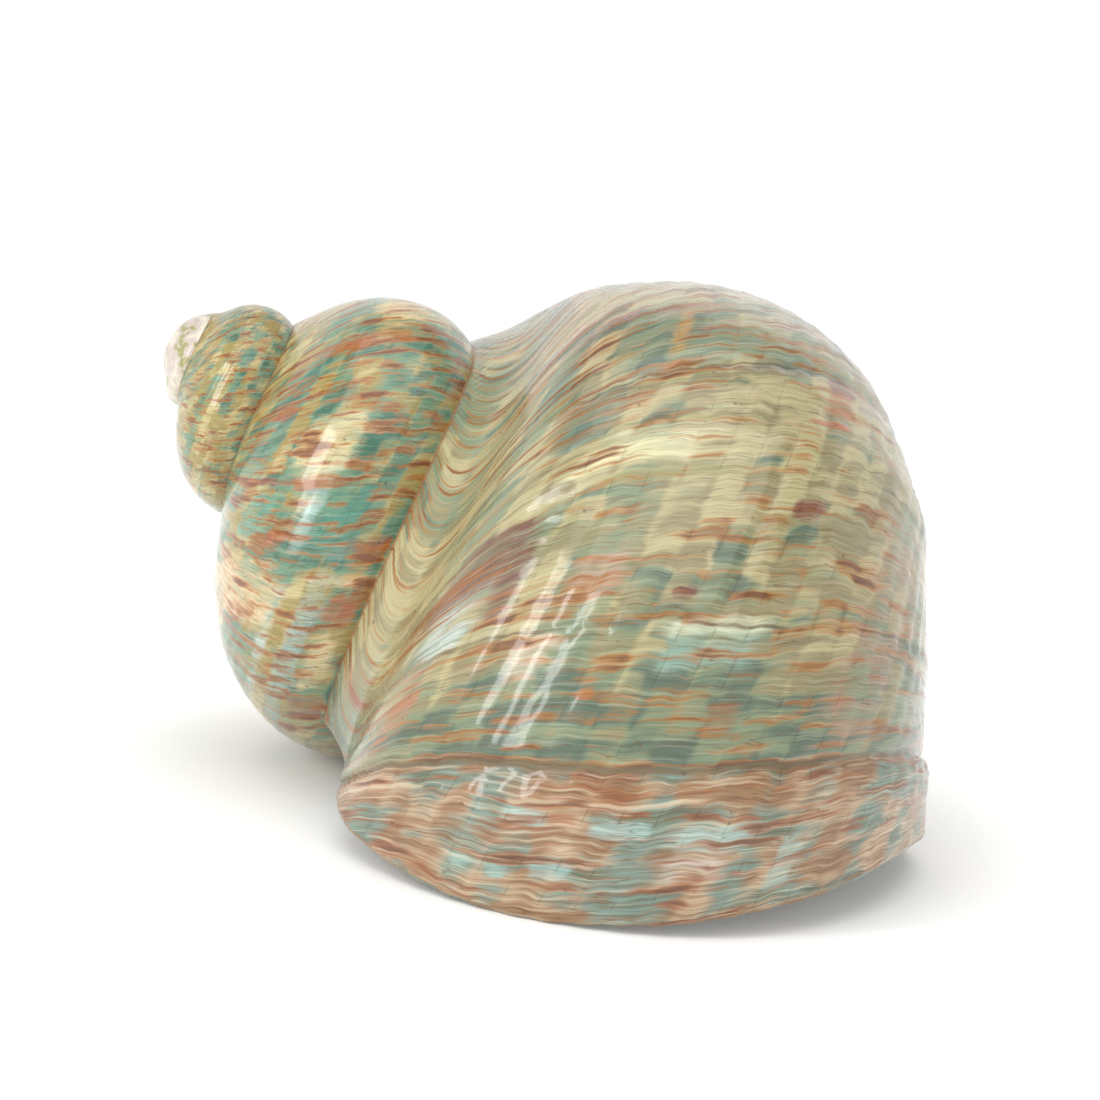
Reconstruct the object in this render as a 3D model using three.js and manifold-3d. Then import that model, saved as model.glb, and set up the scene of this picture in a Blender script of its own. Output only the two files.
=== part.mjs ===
// A turban shell, polished, at rest on its lip.
//
// A snail adds shell at the lip only, and every part of the lip moves on by
// the same rule: turn about the coiling axis, and grow by the same factor for
// each turn. So the whole shell is one outline, carried round the axis and
// scaled about the apex. The cavity is the same sweep, set in by the wall.
import * as THREE from 'three';
import { mergeVertices } from 'three/addons/utils/BufferGeometryUtils.js';
import Module from 'manifold-3d';

// ---- driving sizes: millimetres, and degrees or radians where the name says so
const SUTURE_RADIUS = 34;          // coiling axis to the suture, where it meets the lip
const SUTURE_DEPTH = 56.4;         // apex to that same point, measured down the axis
const GROWTH_PER_TURN = 2.18;      // each turn is this many times the size of the one before
const TURNS = 3;                   // turns above the lip; what came before is worn away
const LINE_LAG = 0.904;            // radians: how far growth lines fall back, suture to base
const LINE_BEND = 0.478;           // radians: the part of that which grows towards the base
const RAMP_LAG = 0.3;              // radians: the quick fall next to the suture
const RAMP_SPAN = 0.08;            // share of the outline that the quick fall takes

const WALL = 5.0;                  // wall at the lip end of the last whorl
const WALL_TAPER = 0.4;            // the wall thins more slowly than the whorl shrinks
const LIP_EDGE = 2.4;              // wall at the ground lip edge
const LIP_TAPER = 0.45;            // radians of growth over which the lip thickens
const COLUMELLA = 7.5;             // axis to the face of the central pillar
const CALLUS = 1.2;                // glaze laid over the whorl before, inside the aperture
const CORNER = 1.7;                // the cavity corner at the suture is this much thicker
const CAVITY_TURNS = 1.3;          // how far back the cavity goes
const WALL_BLEND_IN = 0.2;         // share of a stretch over which the wall leaves its first value
const WALL_BLEND_OUT = 0.75;       // share after which it turns to its last value
const MOUTH_REACH = 0.3;           // radians: how far the cutting solid stands out of the lip

const AXIS_RISE = 31.1;            // degrees: apex end of the axis above the floor
const AXIS_TURN = -5.3;            // degrees: apex end of the axis away from -X
const LIP_AZIMUTH = -53.4;         // degrees about the axis from the floor side, at the suture
const NUB_RADIUS = 6.9;            // the worn, rounded first whorl
const NUB_DEPTH = 12.3;            // its middle, from the ideal apex down the axis
const NUB_FACETS = 24;
const GROUND_FLAT = 2.4;           // depth ground off the lowest points, so the shell sits

const ROWS_PER_TURN = 27;          // facets along the spiral, suture to suture
const WALL_COLS = 12;              // facets from the suture to the next suture
const BASE_COLS = 8;               // facets from there to the axis
const AXIS_COLS = 5;               // facets up the columella
const CAVITY_ROWS = 34;

// ---- the outline, as [radius, depth]: suture, shoulder, periphery, next suture, base, axis
const NEXT_SUTURE = [SUTURE_RADIUS * GROWTH_PER_TURN, SUTURE_DEPTH * GROWTH_PER_TURN];
const OUTLINE = new THREE.SplineCurve([
  [SUTURE_RADIUS, SUTURE_DEPTH], [55, 68.6], [69.9, 84.4], [76.8, 104],
  NEXT_SUTURE, [62, 139.5], [45.5, 150.5], [24.8, 158], [0, 156],
].map(([r, d]) => new THREE.Vector2(r, d)));
const NEXT_SUTURE_AT = 0.5;        // the fifth of nine points

const GROWTH = Math.log(GROWTH_PER_TURN) / (2 * Math.PI);
const size = (t) => Math.exp(GROWTH * t);
const lag = (s) => -RAMP_LAG * (1 - Math.exp(-s / RAMP_SPAN)) - LINE_LAG * s - LINE_BEND * s * s;
const ROW_TURN = 2 * Math.PI + lag(NEXT_SUTURE_AT);   // growth from a suture point to the one it laps
const STEP = ROW_TURN / ROWS_PER_TURN;

// ---- the coiling axis and two directions across it
const rise = THREE.MathUtils.degToRad(AXIS_RISE), turn = THREE.MathUtils.degToRad(AXIS_TURN);
const TO_APEX = new THREE.Vector3(-Math.cos(rise) * Math.cos(turn), -Math.cos(rise) * Math.sin(turn), Math.sin(rise));
const ACROSS = new THREE.Vector3(0, 0, 1).cross(TO_APEX).normalize();
const ABOUT = TO_APEX.clone().cross(ACROSS);
const place = (radius, depth, angle) => TO_APEX.clone().multiplyScalar(-depth)
  .addScaledVector(ACROSS, radius * Math.cos(angle))
  .addScaledVector(ABOUT, radius * Math.sin(angle));

// A point of the outer surface: u is growth in radians, 0 at the lip, and s runs
// along the outline from 0 at the suture to 1 at the axis.
function outer(u, s) {
  const t = u + lag(s), p = OUTLINE.getPoint(s);
  return place(p.x * size(t), p.y * size(t), THREE.MathUtils.degToRad(LIP_AZIMUTH) - t);
}

// ---- the outside, closed across the aperture
function solidOutside() {
  const cols = WALL_COLS + BASE_COLS;
  const last = Math.round(TURNS * 2 * Math.PI / STEP);
  const opened = last - ROWS_PER_TURN;               // from this row on, the base shows
  const share = (j) => (j <= WALL_COLS ? NEXT_SUTURE_AT * j / WALL_COLS
    : NEXT_SUTURE_AT + (1 - NEXT_SUTURE_AT) * (j - WALL_COLS) / BASE_COLS);
  const points = [], ids = new Map();
  const id = (i, j) => {
    if (j === WALL_COLS && i <= opened) return id(i + ROWS_PER_TURN, 0);   // the suture is shared
    const key = i * (cols + 1) + j;
    if (!ids.has(key)) { ids.set(key, points.length); points.push(outer((i - last) * STEP, share(j))); }
    return ids.get(key);
  };
  const faces = [];
  for (let i = 0; i < last; i++) {
    for (let j = 0; j < (i < opened ? WALL_COLS : cols); j++) {
      const a = id(i, j), b = id(i + 1, j), c = id(i + 1, j + 1), d = id(i, j + 1);
      faces.push([a, b, c], [a, c, d]);
    }
  }
  const lip = [];
  for (let j = 0; j <= cols; j++) lip.push(id(last, j));
  for (let i = last - 1; i >= opened; i--) lip.push(id(i, cols));
  for (let j = cols - 1; j > WALL_COLS; j--) lip.push(id(opened, j));
  const start = [];
  for (let j = 0; j < WALL_COLS; j++) start.push(id(0, j));
  for (let i = ROWS_PER_TURN; i > 0; i--) start.push(id(i, 0));
  closeFan(points, faces, lip, true);
  closeFan(points, faces, start, false);
  return solid(points, faces);
}

// ---- the cavity: the lip's whole loop, set in by the wall, swept back round the axis
function cavityRing(u) {
  const before = u - ROW_TURN, ring = [];
  for (let j = 0; j < WALL_COLS + BASE_COLS; j++) {
    const s = j / (WALL_COLS + BASE_COLS);
    ring.push({ p: outer(u, s), skin: thickness(s, CORNER * WALL, WALL, COLUMELLA) });
  }
  const ends = [outer(u, 1), outer(before, 1)];
  for (let j = 0; j < AXIS_COLS; j++) {
    ring.push({ p: ends[0].clone().lerp(ends[1], j / AXIS_COLS), skin: COLUMELLA });
  }
  for (let j = 0; j < BASE_COLS; j++) {
    const back = j / BASE_COLS;
    ring.push({ p: outer(before, 1 - (1 - NEXT_SUTURE_AT) * back), skin: thickness(back, COLUMELLA, CALLUS, CORNER * WALL) });
  }
  const centre = ring.reduce((sum, r) => sum.add(r.p), new THREE.Vector3()).divideScalar(ring.length);
  const thin = THREE.MathUtils.lerp(LIP_EDGE / WALL, 1, THREE.MathUtils.smoothstep(-u, 0, LIP_TAPER));
  const scale = thin * Math.pow(size(u), WALL_TAPER);
  return { centre, loop: ring.map(({ p, skin }) => p.clone().addScaledVector(centre.clone().sub(p).normalize(), skin * scale)) };
}

// Wall along a stretch of the loop: from one end's value, to the middle's, to the other end's.
function thickness(x, from, middle, to) {
  return THREE.MathUtils.lerp(THREE.MathUtils.lerp(from, middle, THREE.MathUtils.smoothstep(x, 0, WALL_BLEND_IN)),
    to, THREE.MathUtils.smoothstep(x, WALL_BLEND_OUT, 1));
}

function solidCavity() {
  const points = [], faces = [], rings = [];
  for (let k = 0; k <= CAVITY_ROWS; k++) {
    const u = MOUTH_REACH - (MOUTH_REACH + CAVITY_TURNS * 2 * Math.PI) * k / CAVITY_ROWS;
    rings.push(cavityRing(u).loop.map((p) => points.push(p) - 1));
  }
  for (let k = 0; k < CAVITY_ROWS; k++) {
    rings[k].forEach((a, j) => {
      const n = (j + 1) % rings[k].length, b = rings[k][n], c = rings[k + 1][n], d = rings[k + 1][j];
      faces.push([a, b, c], [a, c, d]);
    });
  }
  closeFan(points, faces, rings[0], true);
  closeFan(points, faces, rings[CAVITY_ROWS], false);
  return solid(points, faces);
}

// A fan of triangles from a loop to its middle point.
function closeFan(points, faces, loop, flip) {
  const middle = loop.reduce((sum, i) => sum.add(points[i]), new THREE.Vector3()).divideScalar(loop.length);
  const hub = points.push(middle) - 1;
  loop.forEach((a, k) => {
    const b = loop[(k + 1) % loop.length];
    faces.push(flip ? [b, a, hub] : [a, b, hub]);
  });
}

// ---- joining and cutting
const wasm = await Module();
wasm.setup();

// A closed solid, turned the right way out.
function solid(points, faces) {
  const volume = faces.reduce((sum, [a, b, c]) => sum + points[a].dot(points[b].clone().cross(points[c])), 0);
  const outward = volume > 0 ? faces : faces.map(([a, b, c]) => [a, c, b]);
  return new wasm.Manifold(new wasm.Mesh({
    numProp: 3,
    vertProperties: new Float32Array(points.flatMap((p) => p.toArray())),
    triVerts: new Uint32Array(outward.flat()),
  }));
}

// The worn first whorl: a ball on the axis.
function nubSolid() {
  const ball = new THREE.SphereGeometry(NUB_RADIUS, NUB_FACETS, NUB_FACETS / 2);
  ball.deleteAttribute('normal');
  ball.deleteAttribute('uv');
  const { index, attributes: { position } } = mergeVertices(ball);
  const middle = TO_APEX.clone().multiplyScalar(-NUB_DEPTH);
  const points = [], faces = [];
  for (let i = 0; i < position.count; i++) points.push(new THREE.Vector3().fromBufferAttribute(position, i).add(middle));
  for (let i = 0; i < index.count; i += 3) faces.push([index.getX(i), index.getX(i + 1), index.getX(i + 2)]);
  return solid(points, faces);
}

function shellSolid() {
  const nub = nubSolid();
  const hollow = solidOutside().add(nub).subtract(solidCavity());
  const lowest = hollow.boundingBox().min[2];
  const ground = hollow.trimByPlane([0, 0, 1], lowest + GROUND_FLAT);
  const { min, max } = ground.boundingBox();
  return ground.translate([-(min[0] + max[0]) / 2, -(min[1] + max[1]) / 2, -min[2]]);
}

function toGeometry(body) {
  const mesh = body.getMesh();
  const geometry = new THREE.BufferGeometry();
  geometry.setAttribute('position', new THREE.BufferAttribute(Float32Array.from(mesh.vertProperties), mesh.numProp));
  geometry.setIndex([...mesh.triVerts]);
  const flat = geometry.toNonIndexed();
  flat.computeVertexNormals();
  return flat;
}

const nacre = new THREE.MeshStandardMaterial({ color: '#c3c2a6', roughness: 0.25, metalness: 0 });
const shell = new THREE.Mesh(toGeometry(shellSolid()), nacre);
shell.name = 'shell';

const turban = new THREE.Group();
turban.name = 'turban_shell';
turban.add(shell);
export default turban;
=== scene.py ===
# %% [markdown]
# # A polished turban shell
#
# A turban snail builds its shell at the lip and nowhere else. Each new strip is
# a slightly larger copy of the last one, turned a little further about the
# coiling axis, so one outline and one growth factor give the whole shell.
# This lesson builds that surface with numpy, gives it the marks that growth
# leaves, and finishes it as the polished aragonite that a collector sees once
# the brown outer skin has been taken off.
#
# The first cell loads the imported CAD part as a fixed frame. Everything made later has to sit over it, so
# its box is measured when the shell is set down.

# %% Load the imported frame
import math
import bpy
import numpy as np
from mathutils import Matrix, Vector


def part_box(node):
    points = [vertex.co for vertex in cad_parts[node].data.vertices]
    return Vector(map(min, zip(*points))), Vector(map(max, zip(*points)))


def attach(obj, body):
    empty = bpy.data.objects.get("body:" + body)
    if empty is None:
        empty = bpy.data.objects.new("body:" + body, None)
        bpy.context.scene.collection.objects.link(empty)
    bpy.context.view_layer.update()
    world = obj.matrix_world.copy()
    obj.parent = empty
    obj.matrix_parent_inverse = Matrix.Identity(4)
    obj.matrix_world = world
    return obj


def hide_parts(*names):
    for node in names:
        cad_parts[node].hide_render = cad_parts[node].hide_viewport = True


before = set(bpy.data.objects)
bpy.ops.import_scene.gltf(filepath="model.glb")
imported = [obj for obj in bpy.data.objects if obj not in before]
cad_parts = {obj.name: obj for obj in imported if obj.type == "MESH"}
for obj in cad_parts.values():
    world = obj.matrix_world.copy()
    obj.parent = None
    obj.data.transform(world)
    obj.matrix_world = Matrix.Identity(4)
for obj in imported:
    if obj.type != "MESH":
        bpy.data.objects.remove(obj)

MM = 0.001
TAU = 2 * math.pi
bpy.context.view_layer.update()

# %% [markdown]
# ## The growth rule
#
# The outline is the curve that the lip follows, from the suture over the
# shoulder and down to the base, as radius from the coiling axis and depth below
# the apex. Carrying it round by an angle `t` scales it by `exp(k t)`. Whorls
# could be modelled one by one, but they wouldn't repeat each other as a snail's
# do. The CAD part uses the same numbers, so the two agree to about a millimetre.

# %% Growth, in millimetres and radians
SUTURE_RADIUS, SUTURE_DEPTH = 34.0, 56.4
GROWTH_PER_TURN = 2.18
GROWTH = math.log(GROWTH_PER_TURN) / TAU
OUTLINE = np.array([
    (SUTURE_RADIUS, SUTURE_DEPTH), (55, 68.6), (69.9, 84.4), (76.8, 104),
    (SUTURE_RADIUS * GROWTH_PER_TURN, SUTURE_DEPTH * GROWTH_PER_TURN),
    (62, 139.5), (45.5, 150.5), (24.8, 158), (0, 156)])
NEXT_SUTURE_AT = 0.5                     # the fifth of nine points is the next suture
# Radians that a growth line falls behind: with s, with its square, and at once beside the suture.
LINE_LAG, LINE_BEND, RAMP_LAG, RAMP_SPAN = 0.904, 0.478, 0.3, 0.08


def outline(s):
    """Point of the outline: a Catmull-Rom curve, each piece a cubic whose end
    slopes are half the step between the neighbours on either side."""
    last = len(OUTLINE) - 1
    q = np.clip(s, 0, 1) * last
    i = np.minimum(q.astype(int), last - 1)
    w = (q - i)[..., None]
    a, b, c, d = (OUTLINE[np.clip(i + n, 0, last)] for n in (-1, 0, 1, 2))
    va, vb = (c - a) / 2, (d - b) / 2
    return (2 * b - 2 * c + va + vb) * w**3 + (3 * c - 3 * b - 2 * va - vb) * w**2 + va * w + b


def lag(s):
    """How far a growth line falls behind as it leaves the suture: quickly at
    first, then in proportion to s and its square."""
    return -RAMP_LAG * (1 - np.exp(-s / RAMP_SPAN)) - LINE_LAG * s - LINE_BEND * s * s


ROW_TURN = TAU + float(lag(np.array(NEXT_SUTURE_AT)))     # from a suture point to the row that laps it
print(f"outline {len(OUTLINE)} points; a turn grows {GROWTH_PER_TURN} times; "
      f"a suture point is lapped after {math.degrees(ROW_TURN):.0f} degrees")

# %% [markdown]
# ## The way it lies
#
# The shell rests on its lip, with the spire raised and pointing left. The axis
# has a rise and a turn, and the lip meets the suture at an angle about it.
# Three unit vectors, one of them towards the apex, turn the growth rule's
# radius and depth into places in the room.

# %% Axis
AXIS_RISE, AXIS_TURN, LIP_AZIMUTH = map(math.radians, (31.1, -5.3, -53.4))
TO_APEX = np.array([-math.cos(AXIS_RISE) * math.cos(AXIS_TURN),
                    -math.cos(AXIS_RISE) * math.sin(AXIS_TURN), math.sin(AXIS_RISE)])
ACROSS = np.cross((0, 0, 1), TO_APEX)
ACROSS /= np.linalg.norm(ACROSS)
ABOUT = np.cross(TO_APEX, ACROSS)
print("towards the apex:", np.round(TO_APEX, 3).tolist())

# %% [markdown]
# ## Soft steps and bells
#
# Nothing on a shell starts or stops sharply. Each local feature is a soft step
# or a bell of the distance along the growth or across the outline, so these two
# helpers shape all of them.

# %% Soft steps and bells
def smooth(x, low=0.0, high=1.0):
    """0 below low, 1 above high, and 3x^2 - 2x^3 between."""
    x = np.clip((np.asarray(x, float) - low) / (high - low), 0, 1)
    return x * x * (3 - 2 * x)


def bump(x, middle, width):
    """A bell: exp of minus the square of the distance in widths."""
    return np.exp(-((x - middle) / width) ** 2)


print("half way up a step:", float(smooth(0.5)))
print("one width from a bell's middle:", round(float(bump(1, 0, 1)), 2))

# %% [markdown]
# ## The smooth surface
#
# The last whorl has a hollow channel beside the suture and a raised shoulder
# next to it, and both grow stronger towards the lip. The rest is the bare
# growth rule. The marks of growth are added later along the normal, so the
# normal is worked out here too.

# %% The smooth surface and its normal
RAMP_DIP, RAMP_MIDDLE, RAMP_WIDTH = 2.6, 0.062, 0.036    # channel beside the last suture
SHOULDER_RISE, SHOULDER_MIDDLE, SHOULDER_WIDTH = 0.7, 0.155, 0.035
RAMP_STARTS, RAMP_FULL = -4.6, -0.8      # growth, in radians from the lip


def ramp(t, s):
    """The last whorl's top is hollowed beside the suture and raised at the
    shoulder, more so towards the lip: two bells across the outline."""
    late = smooth(t, RAMP_STARTS, RAMP_FULL)
    rise = SHOULDER_RISE * bump(s, SHOULDER_MIDDLE, SHOULDER_WIDTH)
    dip = RAMP_DIP * bump(s, RAMP_MIDDLE, RAMP_WIDTH)
    return late * (rise - dip)


def place(t, s):
    """The smooth surface: the outline scaled by exp(k t) and turned by -t."""
    p = outline(s) * np.exp(GROWTH * t)[..., None]
    angle = (LIP_AZIMUTH - t)[..., None]
    return -p[..., 1:] * TO_APEX + p[..., :1] * (np.cos(angle) * ACROSS + np.sin(angle) * ABOUT)


def outward(t, s, step=1e-3):
    """Unit normal: across two short steps, one along the growth and one along
    the outline."""
    along = place(t + step, s) - place(t - step, s)
    down = place(t, np.minimum(s + step, 1)) - place(t, np.maximum(s - step, 0))
    n = np.cross(along, down)
    return n / np.maximum(np.linalg.norm(n, axis=-1, keepdims=True), 1e-12)


print("lip at the suture, mm from the apex:", np.round(place(np.zeros(1), np.zeros(1))[0], 1).tolist())

# %% [markdown]
# ## Noise
#
# Shell marks are irregular but never random dots: they are long along one
# direction and short along the other. One value noise on a stretched grid gives
# all that are high enough to be in the mesh. The finer ones are made later, in
# the material.

# %% Value noise
TABLE = 128                              # corners each way before the pattern repeats


def noise(x, y, seed):
    """Random numbers on a square grid, blended smoothly between corners; 0 to 1."""
    table = np.random.default_rng(seed).random((TABLE, TABLE))
    x, y = np.broadcast_arrays(np.asarray(x, float), np.asarray(y, float))
    i, j = np.floor(x).astype(int), np.floor(y).astype(int)
    fx, fy = smooth(x - i), smooth(y - j)
    corner = lambda a, b: table[a % TABLE, b % TABLE]
    return ((corner(i, j) * (1 - fx) + corner(i + 1, j) * fx) * (1 - fy)
            + (corner(i, j + 1) * (1 - fx) + corner(i + 1, j + 1) * fx) * fy)


def fractal(x, y, seed, octaves=3):
    """Noise at several scales, each half as large and half as strong; 0 to 1."""
    total = sum(noise(x * 2**n, y * 2**n, seed + n) / 2**n for n in range(octaves))
    return total / sum(1 / 2**n for n in range(octaves))


sample = fractal(np.arange(4000) * 0.37, np.arange(4000) * 0.21, 1)
print("noise, mean, least and most:", np.round([sample.mean(), sample.min(), sample.max()], 2).tolist())

# %% [markdown]
# ## Growth time
#
# Everything that the snail did at one moment lies on one growth line. On the
# last whorl's top these lines run straight out of the suture, then sweep back
# over the shoulder. `growth_time` unrolls them: it is constant along a line,
# about 0.2 at the finished lip beyond the shoulder, and falls by two pi for
# each turn back.

# %% Growth time
SHOULDER_LAG, SHOULDER_SPAN = 0.5, 0.1   # radians, and the share of the outline that it takes
SUTURE_BEND, BEND_SPAN = 0.3, 0.055
BEND_STARTS, BEND_FULL = -5.5, -4.0


def growth_time(t, s):
    """t plus the lag of a growth line, less the bend beside the suture."""
    x = s / BEND_SPAN
    bend = SUTURE_BEND * (x * np.exp(1 - x)) ** 2 * smooth(t, BEND_STARTS, BEND_FULL)
    return t + SHOULDER_LAG * (1 - np.exp(-s / SHOULDER_SPAN)) + LINE_LAG * s + LINE_BEND * s * s - bend


along_lip = np.linspace(0.2, 1, 5)
print("growth time along the lip:", np.round(growth_time(lag(along_lip), along_lip), 2).tolist())

# %% [markdown]
# ## Marks of growth
#
# A snail grows in spurts. Each pause leaves a ridge or a ledge, and folds at
# the edge of its flesh leave spiral ribs. After one long halt this lip started
# again a little wider, which left a groove and a flared strip. They could be
# carved by hand with a sculpting brush. Heights over the smooth surface, worked
# out from growth time, keep every mark on its own growth line instead.

# %% Relief
RIB = 0.03                               # spiral ribs, as a share of the outline: 5 mm at the lip
RIB_PHASE = 1 / 3
RIBS_STOP, RIBS_WHOLE = 0.75, 0.55       # shares of the outline
RIB_RISE = 0.12                          # millimetres, as every rise and depth below
OFF_RAMP = (0.09, 0.17)                  # shares between which the ramp gives way to the shoulder
SCALLOP, WANDER = 0.010, 0.03            # radians that ribs and chance push a growth line
RIDGES = ((0.5, 9, 5, 11), (0.34, 38, 7, 21))      # rise, lumps to a radian, lumps to the outline, seed
HALT, HALT_WIDTH, HALT_DEPTH = -0.105, 0.016, 0.75     # growth time, radians, depth
FLARE_FROM, FLARE_TO, FLARE = -0.13, -0.07, 0.9        # growth times, rise
FLARE_SIDE, MOUND_SIDE = (0.38, 0.5), (0.12, 0.2)      # shares over which each comes in
MOUND, MOUND_WIDTH, MOUND_RISE = -0.87, 0.07, 0.8
DIP, DIP_WIDTH, DIP_DEPTH = -1.16, 0.05, 0.5
LEDGES = ((-1.16, 0.30), (-0.97, 0.30), (-0.42, 0.35), (-0.055, 0.50))   # growth time, rise
LEDGE_RUN, LEDGE_FADE = 0.012, 0.08      # radians that a ledge rises over, and dies away over
EARLY_RELIEF = 0.35                      # the first whorls' share of the relief
LAST_ONLY, FULL_RELIEF = (-4, -3), (-6, -3)            # growth, in radians from the lip


def relief(t, s):
    """Height of the marks over the smooth surface, in millimetres at the lip:
    growth ridges, spiral ribs, the halt groove, ledges and the flare, added up."""
    g = growth_time(t, s)
    off_ramp = smooth(s, *OFF_RAMP)
    rib_wave = np.cos(TAU * (s / RIB - RIB_PHASE))
    wave = g + SCALLOP * rib_wave * off_ramp + WANDER * (fractal(g * 5, s * 35, 41, 1) - 0.5)
    ridges = sum(rise * (fractal(wave * along, s * across, seed) - 0.5)
                 for rise, along, across, seed in RIDGES)
    ribs = (RIB_RISE * rib_wave * off_ramp * smooth(s, RIBS_STOP, RIBS_WHOLE)
            * (0.4 + noise(g * 2.2, s * 9, 31)))
    halt = (-HALT_DEPTH * bump(g, HALT, HALT_WIDTH)
            + FLARE * smooth(g, FLARE_FROM, FLARE_TO) * smooth(s, *FLARE_SIDE))
    mound = (MOUND_RISE * bump(g, MOUND, MOUND_WIDTH) * smooth(s, *MOUND_SIDE)
             - DIP_DEPTH * bump(g, DIP, DIP_WIDTH) * off_ramp)
    ledges = sum(rise * smooth(wave - start, 0, LEDGE_RUN) * np.exp(-np.maximum(wave - start, 0) / LEDGE_FADE)
                 for start, rise in LEDGES) * off_ramp
    last_whorl = (halt + mound + ledges) * smooth(t, *LAST_ONLY)
    return (ridges + ribs + last_whorl) * (EARLY_RELIEF + (1 - EARLY_RELIEF) * smooth(t, *FULL_RELIEF))


sample = relief(*np.meshgrid(np.linspace(-3, 0, 60), np.linspace(0.2, 0.5, 40)))
print(f"relief on the last whorl: {sample.min():.2f} to {sample.max():.2f} mm")

# %% [markdown]
# ## Pigment
#
# The lip lays colour down in cells: a rib at a time across the shell, and a few
# days at a time along it. Polishing cuts through that layer at slightly
# different depths, which softens the cells and leaves growth lines running
# through them. The early whorls are teal, cream and orange-brown; the last
# whorl is paler; the strip after the halt groove is salmon.

# %% Colours
def linear(code):
    """sRGB hex to linear light: divide by 12.92 near black, else a 2.4 power."""
    c = np.array([int(code[n:n + 2], 16) for n in (1, 3, 5)]) / 255
    return np.where(c <= 0.04045, c / 12.92, ((c + 0.055) / 1.055) ** 2.4)


PALETTES = {                              # ground, pale, green, deep green, warm, dark
    "spire": ("#9b8c50", "#bcb07a", "#688d72", "#2f6655", "#a8661a", "#6b3414"),
    "body": ("#8d8561", "#b2a97e", "#7b8a6c", "#4e6254", "#a66a24", "#5f361c"),
    "strip": ("#93714f", "#b89f80", "#788e82", "#647059", "#9c5a2c", "#603a22"),
}
print(len(PALETTES), "palettes; body ground, linear:", np.round(linear(PALETTES["body"][0]), 3).tolist())
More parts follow.
